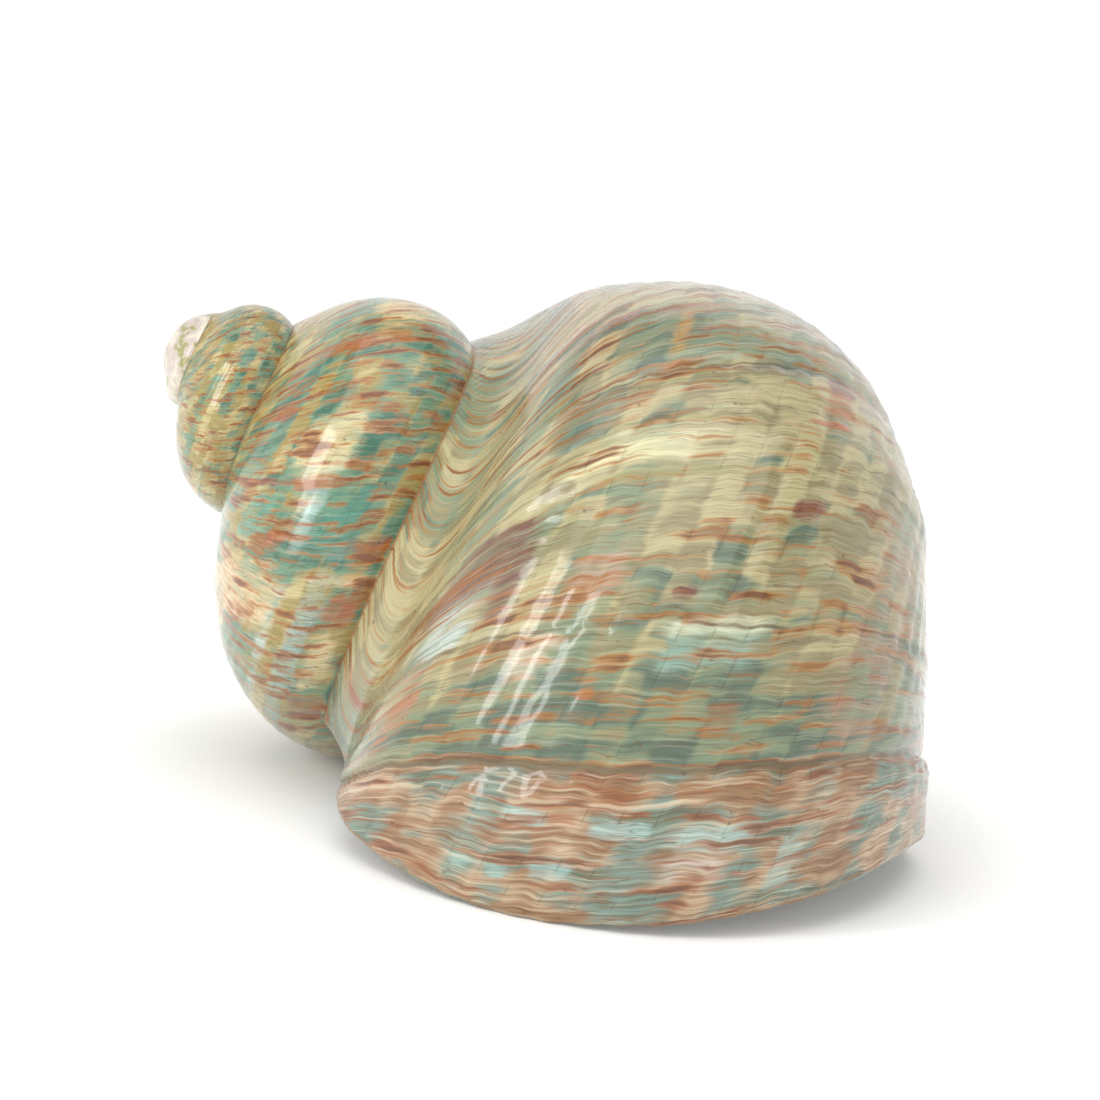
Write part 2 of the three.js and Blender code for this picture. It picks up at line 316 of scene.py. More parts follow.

# %% [markdown]
# ## Single marks
#
# Some marks of this shell stand out, as a face's freckles do: the dark patch on the shoulder, a brown spot on
# the ramp, blue cells on the strip. They are stains of one colour, laid down over a short time by a short
# stretch of the lip, so each is placed one by one in growth time and share of the outline. Each has soft
# corners, and where two meet, the nearer one's colour counts for more.

# %% Single marks
MARKS = [                                 # growth time, outline share, half sizes, colour, strength
    (-7.75, 0.290, 0.20, 0.060, "#d9bd7c", 0.70), (-7.42, 0.220, 0.050, 0.100, "#a8603c", 0.80),
    (-6.96, 0.122, 0.030, 0.022, "#934428", 0.90), (-6.96, 0.250, 0.018, 0.060, "#a25f38", 0.70),
    (-6.70, 0.272, 0.140, 0.048, "#cfc292", 0.90), (-6.50, 0.190, 0.022, 0.100, "#7d3a28", 0.85),
    (-6.48, 0.290, 0.020, 0.020, "#4f2a26", 0.80), (-6.30, 0.185, 0.110, 0.032, "#5f9c88", 0.80),
    (-6.33, 0.385, 0.130, 0.045, "#4c8c79", 0.85), (-6.35, 0.312, 0.150, 0.012, "#b3cec8", 0.80),
    (-6.20, 0.250, 0.035, 0.030, "#a05a30", 0.80), (-6.20, 0.455, 0.030, 0.034, "#8c4422", 0.85),
    (-6.05, 0.455, 0.060, 0.022, "#c98a3c", 0.70), (-6.02, 0.420, 0.022, 0.050, "#dcdcc0", 0.70),
    (-5.88, 0.240, 0.130, 0.085, "#dabf92", 0.80), (-5.62, 0.395, 0.380, 0.020, "#8fb3ae", 0.75),
    (-5.60, 0.330, 0.300, 0.012, "#b9cdc6", 0.60), (-5.88, 0.455, 0.050, 0.026, "#a5562f", 0.75),
    (-5.60, 0.455, 0.140, 0.022, "#dbc79c", 0.80), (-5.30, 0.458, 0.070, 0.030, "#845048", 0.85),
    (-5.62, 0.260, 0.020, 0.060, "#8a6254", 0.60),
    (-1.62, 0.300, 0.100, 0.020, "#cfc9a4", 0.60), (-1.50, 0.240, 0.022, 0.032, "#8d5a50", 0.75),
    (-1.56, 0.175, 0.025, 0.015, "#8c5a52", 0.70), (-1.70, 0.128, 0.060, 0.015, "#9c7068", 0.60),
    (-1.32, 0.240, 0.110, 0.007, "#bf8a34", 0.75), (-1.33, 0.280, 0.016, 0.022, "#8a5346", 0.75),
    (-1.25, 0.300, 0.090, 0.060, "#8d9c84", 0.55), (-1.17, 0.247, 0.024, 0.013, "#7a4826", 0.90),
    (-1.14, 0.335, 0.014, 0.042, "#6c4a38", 0.70), (-1.13, 0.425, 0.022, 0.018, "#7a4236", 0.85),
    (-1.05, 0.430, 0.040, 0.016, "#a8642c", 0.75), (-0.96, 0.425, 0.012, 0.020, "#ae5f2c", 0.70),
    (-1.06, 0.187, 0.090, 0.020, "#587c70", 0.90), (-1.13, 0.187, 0.014, 0.018, "#8c5a2c", 0.85),
    (-1.06, 0.190, 0.010, 0.018, "#80542e", 0.80), (-1.00, 0.187, 0.014, 0.018, "#94602e", 0.80),
    (-0.88, 0.260, 0.050, 0.060, "#d8d4a6", 0.65), (-0.87, 0.285, 0.045, 0.009, "#d9d3b0", 0.75),
    (-0.80, 0.280, 0.018, 0.060, "#8f8a58", 0.60), (-0.92, 0.310, 0.010, 0.040, "#7d5a44", 0.60),
    (-0.68, 0.148, 0.075, 0.026, "#6e4236", 0.90), (-0.58, 0.186, 0.090, 0.010, "#6f4438", 0.80),
    (-0.50, 0.150, 0.070, 0.018, "#c3d0c8", 0.60), (-0.70, 0.425, 0.022, 0.013, "#7c4636", 0.80),
    (-0.49, 0.345, 0.012, 0.008, "#6b3320", 0.90), (-0.46, 0.060, 0.020, 0.024, "#8e3b22", 0.95),
    (-0.55, 0.265, 0.060, 0.020, "#a68c78", 0.60), (-0.41, 0.385, 0.014, 0.034, "#d6d9b8", 0.90),
    (-0.36, 0.385, 0.035, 0.034, "#87a596", 0.70), (-0.29, 0.305, 0.030, 0.005, "#ab6c38", 0.55),
    (-0.35, 0.245, 0.060, 0.014, "#d9c8b0", 0.60), (-0.30, 0.145, 0.080, 0.012, "#b0704c", 0.60),
    (-0.45, 0.565, 0.300, 0.040, "#a38a72", 0.55), (-0.62, 0.530, 0.060, 0.008, "#b07844", 0.45),
    (-0.44, 0.535, 0.050, 0.009, "#ae6c42", 0.50),
    (-0.27, 0.540, 0.040, 0.009, "#ae6c42", 0.45), (-0.22, 0.425, 0.030, 0.014, "#8d5a34", 0.60),
    (-0.01, 0.310, 0.014, 0.016, "#9cc0bb", 0.85), (0.01, 0.390, 0.014, 0.018, "#9fc0bb", 0.85),
    (0.03, 0.470, 0.020, 0.030, "#a5bdb4", 0.80), (0.09, 0.350, 0.018, 0.013, "#93bab6", 0.90),
    (0.10, 0.277, 0.012, 0.009, "#9cbcb4", 0.80), (0.10, 0.545, 0.040, 0.010, "#9cb8ae", 0.80),
    (0.09, 0.465, 0.024, 0.026, "#c9c0b4", 0.60), (0.11, 0.310, 0.012, 0.008, "#93b5ae", 0.80),
]
SQUARENESS = 4                           # 2 would make a mark an ellipse; more makes it squarer
REACH = 4                                # half sizes beyond which a mark's colour fades no further
CORE, FALL = 1.6, 0.8                    # a mark is whole where 1.6 - 0.8 d passes 1


def marks(g, s):
    """Colour and strength of the single marks. Distance from one is the fourth
    root of the sum of fourth powers; the colour is the mean, weighted by nearness."""
    total, weight, strength = np.zeros(g.shape + (3,)), np.full(g.shape, 1e-9), np.zeros(g.shape)
    for mark_g, mark_s, half_g, half_s, code, amount in MARKS:
        along, across = (g - mark_g) / half_g, (s - mark_s) / half_s
        d = (along ** SQUARENESS + across ** SQUARENESS) ** (1 / SQUARENESS)
        near = amount * np.exp(-np.minimum(d, REACH) ** 2)
        total += near[..., None] * linear(code)
        weight += near
        strength = np.maximum(strength, amount * np.clip(CORE - FALL * d, 0, 1))
    return np.concatenate([total / weight[..., None], strength[..., None]], -1)


print(len(MARKS), "single marks")

# %% [markdown]
# ## Leanings
#
# A snail's food changes through the year, and the balance of its pigments can
# change with it. So one stretch of a whorl leans to green, the next to cream.
# The table gives that balance at a few moments, with straight lines between.
# The same array also says how worn the surface is: only the oldest turns are.

# %% Leanings
LEANINGS = np.array([                     # growth time, then how far green, brown and cream are favoured
    (-20, 0.00, 0.00, 0.00), (-9.0, 0.00, 0.02, 0.00), (-7.9, 0.00, 0.02, 0.05), (-7.3, 0.03, 0.04, 0.00),
    (-6.6, 0.06, 0.03, 0.00), (-6.1, 0.06, 0.02, 0.00), (-5.7, -0.04, 0.02, 0.05), (-5.2, 0.02, 0.03, 0.00),
    (-3.0, 0.00, 0.01, 0.00), (-1.6, 0.00, 0.02, 0.06), (-1.2, 0.02, 0.01, 0.02), (-1.05, -0.06, 0.00, 0.06),
    (-0.85, -0.06, -0.03, 0.06), (-0.5, -0.01, 0.01, 0.01), (-0.36, 0.03, 0.00, 0.00),
    (-0.22, 0.09, 0.00, -0.04), (-0.13, 0.09, 0.01, -0.05), (-0.10, -0.04, 0.03, 0.00),
    (0.0, 0.00, 0.00, 0.03), (0.2, -0.01, 0.00, 0.04)])
WORN_FROM, WORN_WHOLLY = 15.6, 16.6      # radians back from the lip


def leanings(g, t):
    """Green, brown and cream, each 0.5 plus its leaning, and how worn the surface is."""
    rows = [0.5 + np.interp(g, LEANINGS[:, 0], LEANINGS[:, n]) for n in (1, 2, 3)]
    return np.stack(rows + [smooth(-t, WORN_FROM, WORN_WHOLLY)], -1)


print(len(LEANINGS), "moments with a leaning")

# %% [markdown]
# ## The grid
#
# Rows follow growth and columns follow the outline. A row's suture end is not a
# vertex of its own: it is the first vertex of the row that laps it one turn
# later, so the whorls are welded. Older whorls are smaller and need fewer rows,
# and the base needs fewer towards the axis. There a row borrows its neighbour's
# vertex, and the triangles that collapse are dropped.

# %% Rows, columns and shared vertices
ROWS = 416                               # rows from a suture point to the one that laps it
COLS = 136
WALL_COLS = COLS // 2                    # these columns are the outer wall, and the rest are the base
TURNS = 3.6                              # back from the lip; the worn nub hides the rest
STEP = ROW_TURN / ROWS
FIRST = -int(TURNS * TAU / STEP)
AXIS_EVERY = 52                          # rows to each vertex on the axis itself
BASE_EVERY = {0.80: 1, 0.90: 2, 0.97: 4, 1.0: 16}         # up to a share of the outline, rows to a vertex


def coarse(k):
    """Rows kept on each whorl: all on the last, then half as many each turn back."""
    every = np.select([k >= -ROWS, k >= -2 * ROWS, k >= -3 * ROWS], [1, 2, 4], 8)
    return k // every * every


k, j = np.meshgrid(np.arange(FIRST, 1), np.arange(COLS + 1), indexing="ij")
base_every = np.select([j < COLS * share for share in BASE_EVERY], list(BASE_EVERY.values()), AXIS_EVERY)
vertex_k = np.where(j > WALL_COLS, k // base_every * base_every, coarse(k))
lapped = (j == WALL_COLS) & (k <= -ROWS)
corner_k = vertex_k.copy()               # where the corner is on its own whorl, for the patterns
vertex_k = np.where(lapped, coarse(np.minimum(k + ROWS, 0)), vertex_k)
corner_k = np.where(lapped, vertex_k - ROWS, corner_k)
vertex_j = np.where(lapped, 0, j)
used = (j <= WALL_COLS) | (k >= -ROWS)
key = (vertex_k - FIRST) * (COLS + 1) + vertex_j
keys, index = np.unique(np.where(used, key, key[0, 0]), return_inverse=True)
index = index.reshape(key.shape)
row_of, col_of = keys // (COLS + 1) + FIRST, keys % (COLS + 1)
print(f"{len(keys)} vertices outside, rows {FIRST} to 0")

# %% [markdown]
# ## Triangles
#
# Four neighbours on the grid make two triangles. Where two corners are the same
# vertex the triangle has no area and is dropped, so rows thin out with no hole.

# %% Triangles outside
def triangles(ids, cells):
    """Two triangles for each cell between four neighbours, with the ones that
    have collapsed left out. Also returns each corner's place in the grid."""
    flat = np.arange(ids.size).reshape(ids.shape)
    a, b, c, d = (flat[x, y][cells] for x, y in (
        (slice(None, -1), slice(None, -1)), (slice(1, None), slice(None, -1)),
        (slice(1, None), slice(1, None)), (slice(None, -1), slice(1, None))))
    corners = np.concatenate([np.stack([a, b, c], 1), np.stack([a, c, d], 1)])
    tri = ids.ravel()[corners]
    whole = (tri[:, 0] != tri[:, 1]) & (tri[:, 1] != tri[:, 2]) & (tri[:, 2] != tri[:, 0])
    return tri[whole], corners[whole]


cells = (j[:-1, :-1] < WALL_COLS) | (k[:-1, :-1] >= -ROWS)
outer_tri, outer_corner = triangles(index, cells)
print(len(outer_tri), "triangles outside")

# %% [markdown]
# ## Vertex places
#
# Each vertex starts on the smooth surface and moves along the normal by the
# ramp and the relief. The relief fades out at a suture, where two whorls share
# the vertex, and beside the axis, where the rows crowd together.

# %% Outer surface
SUTURE_START, SUTURE_FADE, AXIS_FADE = 0.03, 0.035, 0.06      # shares of the outline
RELIEF_GROWTH = 0.8                      # below 1, so small whorls have a little more relief for their size
s = col_of / COLS
t = row_of * STEP + lag(s)
to_next = smooth(NEXT_SUTURE_AT - s, 0.0, SUTURE_FADE)
near_next = 1 - smooth(np.abs(s - NEXT_SUTURE_AT), 0, SUTURE_FADE)
meets = np.where(row_of < -ROWS, to_next, 1 - near_next * smooth(-row_of / ROWS, 0.9, 1.0))
grown = np.exp(GROWTH * t) ** RELIEF_GROWTH
height = (relief(t, s) * smooth(s, 0.0, SUTURE_START) * meets + ramp(t, s)) * grown
height *= smooth(1 - s, 0.0, AXIS_FADE)
points = place(t, s) + outward(t, s) * height[:, None]
print(f"vertices moved along the normal by {height.min():.2f} to {height.max():.2f} mm")

# %% [markdown]
# ## The worn nub
#
# The first turns of an old shell are worn to a smooth nub, whatever they once
# looked like. Radii about the nub's middle are blended to a sphere's. That
# keeps every vertex and only moves it, so the grid stays whole.

# %% Worn nub
NUB_RADIUS, NUB_DEPTH = 6.9, 12.3        # millimetres; the depth of its middle is along the axis
NUB_POWER = 8                            # more makes a sharper line round the nub
NUB_BLEND = (1.0, 5.0)                   # millimetres apexwards over which it becomes a plain sphere


def worn(p):
    """Radius about the nub's middle becomes the eighth root of r^8 + R^8, and
    R itself on the side of the apex."""
    v = p + NUB_DEPTH * TO_APEX
    r = np.maximum(np.linalg.norm(v, axis=-1, keepdims=True), 1e-6)
    out = (r**NUB_POWER + NUB_RADIUS**NUB_POWER) ** (1 / NUB_POWER)
    cap = smooth(v @ TO_APEX, *NUB_BLEND)[:, None]
    return v / r * (out + (NUB_RADIUS - out) * cap) - NUB_DEPTH * TO_APEX


unworn = points
points = worn(unworn)
print(f"wear moves {(np.linalg.norm(points - unworn, axis=1) > 0.1).sum()} vertices by over 0.1 mm")

# %% [markdown]
# ## Lip, columella and cavity
#
# The open edge of that surface is one loop: along the lip, up the axis, and
# back over the whorl before. The inner surface is the same loop set in by the
# wall and swept back round the axis, and a rounded rim joins the two. So the
# shell is one closed skin with a real thickness. A Solidify modifier would be
# quicker, but it gives the wall and the pillar one thickness.

# %% The loop of the open edge
lip_cols = np.arange(COLS + 1)
axis_rows = np.arange(-AXIS_EVERY, -ROWS, -AXIS_EVERY)
back_cols = np.arange(COLS, WALL_COLS, -1)
loop = np.concatenate([index[-FIRST, lip_cols], index[axis_rows - FIRST, COLS],
                       index[-ROWS - FIRST, back_cols]])
loop_s = np.concatenate([lip_cols, np.full(len(axis_rows), COLS), back_cols]) / COLS
loop_u = np.concatenate([np.zeros(len(lip_cols)), axis_rows * STEP, np.full(len(back_cols), -ROW_TURN)])
on_loop = np.arange(len(loop))
outer_part = on_loop <= COLS
axis_part = (on_loop > COLS) & (on_loop <= COLS + len(axis_rows))
back = np.where(outer_part | axis_part, 0, (1 - loop_s) / (1 - NEXT_SUTURE_AT))
print(f"loop of {len(loop)} vertices")

# %% [markdown]
# ## Thickness
#
# The wall is 5 mm thick behind the lip, and the lip is ground to 2.4 mm. The
# columella, the pillar that the whorls turn round, reaches 7.5 mm from the
# axis. A thin callus lies over the whorl before, and the corners are filled.

# %% Thickness
WALL, WALL_TAPER, LIP_EDGE, LIP_TAPER = 5.0, 0.4, 2.4, 0.45
COLUMELLA, CALLUS, CORNER = 7.5, 1.2, 1.7
BLEND_IN, BLEND_OUT = 0.2, 0.75          # shares of a side


def between(x, start, middle, end):
    """From start's value to middle's over the first fifth, to end's over the last quarter."""
    a = start + (middle - start) * smooth(x, 0, BLEND_IN)
    return a + (end - a) * smooth(x, BLEND_OUT, 1)


skin = np.where(outer_part, between(loop_s, CORNER * WALL, WALL, COLUMELLA),
                np.where(axis_part, COLUMELLA, between(back, COLUMELLA, CALLUS, CORNER * WALL)))
print(f"skin {skin.min():.1f} to {skin.max():.1f} mm thick, before the lip is thinned")

# %% [markdown]
# ## Rounded lip and inner rings
#
# The rim goes from the outer edge to the inner one in a half round that stands
# forward of both, as a ground and polished edge does. Behind it the rings
# follow the growth rule back into the shell, and stand further apart the
# deeper they lie, where less of them can be seen.

# %% Rounded lip and inner rings
CAVITY_TURNS, CAVITY_ROWS, RIM_ROWS = 1.35, 60, 6
CROWDING = 1.25                          # more crowds the rings towards the mouth
LIP_ROUND, BACK_ROUND = 0.42, 0.1        # how far the rim stands forward, as a share of the skin
AHEAD = 0.05                             # radians of growth that show which way is forward


def inner_ring(u):
    """The loop at growth u, each point moved towards the loop's middle by its
    skin, which is thin at the lip and grows more slowly than the shell."""
    p = place(loop_u + u + lag(loop_s), loop_s)
    way = p.mean(0) - p
    way /= np.linalg.norm(way, axis=1, keepdims=True)
    thin = LIP_EDGE / WALL + (1 - LIP_EDGE / WALL) * smooth(-u / LIP_TAPER)
    return p + way * (skin * thin * math.exp(GROWTH * u) ** WALL_TAPER)[:, None]


edge = points[loop]
first = inner_ring(0.0)
forward = inner_ring(AHEAD) - first
forward /= np.linalg.norm(forward, axis=1, keepdims=True)
roundness = np.where(outer_part, LIP_ROUND, BACK_ROUND) * np.linalg.norm(edge - first, axis=1)
rings = []
for n in range(1, RIM_ROWS + 1):
    a = math.pi * n / RIM_ROWS
    straight = edge * (1 + math.cos(a)) / 2 + first * (1 - math.cos(a)) / 2
    rings.append(straight + forward * (roundness * math.sin(a))[:, None])
for n in range(1, CAVITY_ROWS + 1):
    rings.append(inner_ring(-CAVITY_TURNS * TAU * (n / CAVITY_ROWS) ** CROWDING))
inner = np.concatenate(rings)
ring_ids = np.concatenate([[loop], len(points) + np.arange(len(inner)).reshape(len(rings), -1)])
ring_ids = np.concatenate([ring_ids, ring_ids[:, :1]], 1)
inner_tri, inner_corner = triangles(ring_ids, np.ones((len(rings), len(loop)), bool))
print(f"{len(rings)} rings and {len(inner_tri)} triangles inside")

# %% [markdown]
# ## One closed skin
#
# Two holes are left: the tip of the spire, under the worn nub, and the far end
# of the cavity. A fan of triangles to one middle point closes each. On a skin
# with no hole and no face turned over, every edge is used once each way, and
# counting the others is the test.

# %% One closed mesh
def fan(rim, hub):
    """Triangles from a closed loop to one point."""
    return np.stack([rim, np.roll(rim, -1), np.full(len(rim), hub)], 1)


start = index[0, :WALL_COLS + 1]
seam = index[ROWS::-1, 0]
start_rim = np.concatenate([start[:-1], seam[:-1]])
start_rim = start_rim[start_rim != np.roll(start_rim, 1)]
hubs = np.array([points[start_rim].mean(0), rings[-1].mean(0)])
hubs[:1] = worn(hubs[:1])
hub = len(points) + len(inner)
end_rim = ring_ids[-1, :-1]
verts = np.concatenate([points, inner, hubs])
tris = np.concatenate([outer_tri, inner_tri, fan(start_rim, hub), fan(end_rim, hub + 1)[:, ::-1]])


def count_open(tri):
    """Edges that are not used once each way: none on a closed, consistent skin."""
    e = np.concatenate([tri[:, [0, 1]], tri[:, [1, 2]], tri[:, [2, 0]]]).astype(np.int64)
    n = e.max() + 1
    return len(np.setxor1d(e[:, 0] * n + e[:, 1], e[:, 1] * n + e[:, 0]))


print(f"{len(verts)} vertices, {len(tris)} triangles, open edges {count_open(tris)}")

# %% [markdown]
# ## Into Blender
#
# The piece is set down where the CAD part lies: level with its base, which is
# ground flat where it touches, and centred over it in plan.

# %% Placing
GROUND_FLAT = 2.4                        # millimetres ground off where the shell touches the table
floor_level = verts[:, 2].min() + GROUND_FLAT
verts[:, 2] = np.maximum(verts[:, 2] - floor_level, 0)
low, high = (np.array(c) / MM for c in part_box("shell"))
shift = (low + high)[:2] / 2 - (verts[:, :2].min(0) + verts[:, :2].max(0)) / 2
verts[:, :2] += shift
apex = np.array([shift[0], shift[1], -floor_level])
volume = np.einsum("ij,ij->i", verts[tris[:, 0]], np.cross(verts[tris[:, 1]], verts[tris[:, 2]])).sum() / 6
print(f"volume {volume / 1000:.0f} cubic cm, positive because the faces point outwards")
print("size, mm:", np.round(np.ptp(verts, axis=0), 1).tolist(), "apex at", np.round(apex, 1).tolist())

# %% [markdown]
# ## Maps for the finish
#
# A finish has to know where it is. The map "growth" holds growth time and the share of the outline, so a
# pattern that reads it runs along growth lines and across ribs. A vertex in a suture has two values, one for
# each whorl, so maps are kept by corner and not by vertex. "OFBake" lays the surface out flat, so that the
# finish can be painted into an image: the last whorl, the early whorls above it, the inside above those, and
# a small spot for each fan.

# %% Pattern map and bake map
MARGIN, SPAN = 0.005, 0.99               # all of these are shares of the bake map
LAST_HIGH, EARLY_FROM, EARLY_HIGH, INSIDE_FROM, INSIDE_HIGH = 0.56, 0.58, 0.30, 0.75, 0.245
NUB_SPOT, CAVITY_SPOT, SPOT_FROM, SPOT_SIZE = 0.30, 0.40, 0.715, 0.004

outer_k, outer_j = corner_k.ravel()[outer_corner], j.ravel()[outer_corner]
outer_s = outer_j / COLS
outer_u = outer_k * STEP
ring_row, ring_col = np.unravel_index(inner_corner, ring_ids.shape)
shrink = np.exp(GROWTH * (outer_u + ROW_TURN))
on_last = (outer_k >= -ROWS).all(1, keepdims=True)
strip_x = np.where(on_last, 1 + outer_u / ROW_TURN, shrink)
strip_y = np.where(on_last, outer_s * LAST_HIGH, EARLY_FROM + outer_s * EARLY_HIGH * shrink)
fans = len(tris) - len(outer_tri) - len(inner_tri)
fan_x = np.where(np.arange(fans) < len(start_rim), NUB_SPOT, CAVITY_SPOT)
fan_spot = np.array(((0, SPOT_FROM), (SPOT_SIZE, SPOT_FROM), (0, SPOT_FROM + SPOT_SIZE)))

growth_uv = np.concatenate([
    np.stack([growth_time(outer_u + lag(outer_s), outer_s), outer_s], -1),
    np.stack([ring_row / len(rings), ring_col / len(loop)], -1),
    np.zeros((fans, 3, 2))])
bake_uv = np.concatenate([
    np.stack([MARGIN + SPAN * strip_x, MARGIN + strip_y], -1),
    np.stack([MARGIN + SPAN * ring_col / len(loop), INSIDE_FROM + INSIDE_HIGH * ring_row / len(rings)], -1),
    fan_x[:, None, None] * (1, 0) + fan_spot])
print("bake map spans", np.round([bake_uv.min(), bake_uv.max()], 3).tolist())

# %% [markdown]
# ## Marks and leanings on the vertices
#
# Single marks and leanings are broad, so one value at each vertex is fine
# enough for them. A vertex in a suture holds the later whorl's value. The
# inside has no marks, leans no way and isn't worn.

# %% Vertex colours
g = growth_time(t, s)
blank = np.zeros((len(inner) + 2, 4))
mark_data = np.concatenate([marks(g, s), blank])
lean_data = np.concatenate([leanings(g, t), blank + (0.5, 0.5, 0.5, 0)])
lean_data[len(verts) - 2, 3] = 1.0       # the hub of the worn nub
print(f"{(mark_data[:, 3] > 0.5).mean():.0%} of the vertices lie in a mark")

# %% [markdown]
# ## Handing the arrays to Blender
#
# `foreach_set` copies a whole array at once, which is far quicker than adding vertices one by one. The piece
# rides on the part's root body and takes the place of the CAD node, which is hidden.

# %% The mesh
def make_mesh(name, verts, tris):
    """A mesh object from metre vertices and triangles, with smooth faces."""
    mesh = bpy.data.meshes.new(name)
    mesh.vertices.add(len(verts))
    mesh.vertices.foreach_set("co", np.asarray(verts, np.float32).ravel())
    mesh.loops.add(tris.size)
    mesh.loops.foreach_set("vertex_index", tris.astype(np.int32).ravel())
    mesh.polygons.add(len(tris))
    mesh.polygons.foreach_set("loop_start", np.arange(0, tris.size, 3, dtype=np.int32))
    mesh.polygons.foreach_set("loop_total", np.full(len(tris), 3, np.int32))
    mesh.update(calc_edges=True)
    mesh.validate()
    mesh.shade_smooth()
    piece = bpy.data.objects.new(name, mesh)
    bpy.context.scene.collection.objects.link(piece)
    return piece


shell = make_mesh("turban_shell", verts * MM, tris)
for name, data in (("growth", growth_uv), ("OFBake", bake_uv)):
    shell.data.uv_layers.new(name=name).data.foreach_set("uv", data.astype(np.float32).ravel())
for name, data in (("mark", mark_data), ("leaning", lean_data)):
    colours = shell.data.attributes.new(name, "FLOAT_COLOR", "POINT").data
    colours.foreach_set("color", data.astype(np.float32).ravel())
SHARP = math.radians(50)                 # an edge that turns more than this keeps a crisp line
shell.data.set_sharp_from_angle(angle=SHARP)
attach(shell, "root")
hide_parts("shell")
print(shell.name, len(shell.data.polygons), "faces")

# %% [markdown]
# ## The outside: polished aragonite
#
# Aragonite is a form of calcium carbonate, and most shells are made of it. This
# one has had its dull skin cut away and the mineral buffed, so the pigment in
# it shows deep and slightly glassy. The finish is built from small nodes. One
# function adds a node with its settings and links, and another adds a node of
# arithmetic. The first nodes read where a point is: `when` is its growth time
# and `where` is its share of the outline.

# %% Outside: where a point is
def new_material(name):
    """An empty node material; the helpers below add to its tree."""
    global nodes, links
    material = bpy.data.materials.new(name)
    material.use_nodes = True
    nodes, links = material.node_tree.nodes, material.node_tree.links
    nodes.clear()
    return material


def add(kind, inputs=None, **settings):
    """A node of the given kind, its settings, and its inputs: values or sockets."""
    node = nodes.new(kind)
    for name, value in settings.items():
        setattr(node, name, value)
    for name, value in (inputs or {}).items():
        if isinstance(value, bpy.types.NodeSocket):
            links.new(value, node.inputs[name])
        else:
            node.inputs[name].default_value = value
    return node


def calc(operation, *values):
    """One arithmetic node: its result."""
    return add("ShaderNodeMath", dict(enumerate(values)), operation=operation).outputs[0]


skin_material = new_material("polished aragonite")
pattern = add("ShaderNodeUVMap", uv_map="growth")
split = add("ShaderNodeSeparateXYZ", {"Vector": pattern.outputs["UV"]})
when, where = split.outputs["X"], split.outputs["Y"]
print(skin_material.name, "reads the map", pattern.uv_map)

# %% [markdown]
# ## Masks
#
# A mask is a number from 0 to 1 that says how much of something a place has.
# These come from growth: the strip that grew after the halt, the surface beyond
# the ramp, and the early whorls. `rib` counts spiral ribs across the outline.

# %% Outside: masks
def weighted(start, *terms):
    """start, plus each value times its weight."""
    for weight, value in terms:
        start = calc("MULTIPLY_ADD", value, weight, start)
    return start


def ramp_node(value, low, high):
    """0 below low and 1 above high, smoothly."""
    return add("ShaderNodeMapRange", {"Value": value, "From Min": low, "From Max": high},
               interpolation_type="SMOOTHSTEP").outputs[0]


def near_to(value, level, core, reach):
    """1 within core of a level, 0 beyond reach."""
    away = calc("ABSOLUTE", calc("SUBTRACT", value, level))
    return calc("SUBTRACT", 1.0, ramp_node(away, core, reach))


STRIP_FROM, STRIP_TO = -0.13, -0.10      # growth times round the halt
EARLY_TO, EARLY_WHOLLY = -3.6, -5.4      # growth times between the last whorl's look and the spire's

on_strip = ramp_node(when, STRIP_FROM, STRIP_TO)
off_ramp = ramp_node(where, *OFF_RAMP)
early = calc("SUBTRACT", 1.0, ramp_node(when, EARLY_WHOLLY, EARLY_TO))
rib = calc("MULTIPLY_ADD", where, 1 / RIB, -RIB_PHASE)
print(len(nodes), "nodes so far")

# %% [markdown]
# ## Growth lines and cells
#
# Every rib pushes a growth line forward a little, and chance bends it, so
# `wave` is growth time with a scallop and some wander. Pigment comes in cells,
# one rib wide. For them the rib's number is a staircase with soft risers. The
# pattern's two coordinates are `by_line`, for lines that cross ribs freely, and
# `by_rib`, for cells. On the early whorls one radian is a shorter way, so both
# run slower there and the cells keep their size. Noise in Blender is the same
# in all directions, so it is stretched before it is read.

# %% Outside: growth lines and cells
def blend(a, b, amount, mode="MIX"):
    """Two colours, hex or sockets, mixed by an amount."""
    a, b = ((*linear(c), 1.0) if isinstance(c, str) else c for c in (a, b))
    return add("ShaderNodeMix", {0: amount, 6: a, 7: b}, data_type="RGBA", blend_type=mode).outputs[2]


def stretched(vector, along, across, detail, seed):
    """Noise with so many lumps to a radian of growth, and so many to the
    outline or to a rib."""
    mapping = add("ShaderNodeMapping", {
        "Vector": vector, "Scale": (along, across, 1), "Location": (seed * 1.7, seed * 3.1, 0)})
    return add("ShaderNodeTexNoise", {
        "Vector": mapping.outputs[0], "Scale": 1.0, "Detail": detail, "Roughness": 0.55},
        noise_dimensions="2D").outputs[0]


DEPTH, STRIP_DEPTH, DRIFT = 0.0012, 0.0004, 0.045        # radians; a radian is about 75 mm at the lip
EARLY_PIVOT, EARLY_SLOWER = 4.5, 0.5
RISER = (0.15, 0.85)                     # part of a rib over which one cell's colour becomes the next's
scallop = calc("MULTIPLY", calc("COSINE", calc("MULTIPLY", rib, TAU)), off_ramp)
depth = calc("MULTIPLY_ADD", on_strip, STRIP_DEPTH, DEPTH)
drift = stretched(pattern.outputs["UV"], 5, 10, 3, 3)
wave = weighted(calc("MULTIPLY_ADD", scallop, depth, when), (DRIFT, calc("SUBTRACT", drift, 0.5)))
slower = calc("MULTIPLY", calc("MULTIPLY", early, EARLY_SLOWER), calc("ADD", wave, EARLY_PIVOT))
slow = calc("SUBTRACT", wave, slower)
cell_rib = calc("MULTIPLY", rib, weighted(1.0, (-0.30, early)))
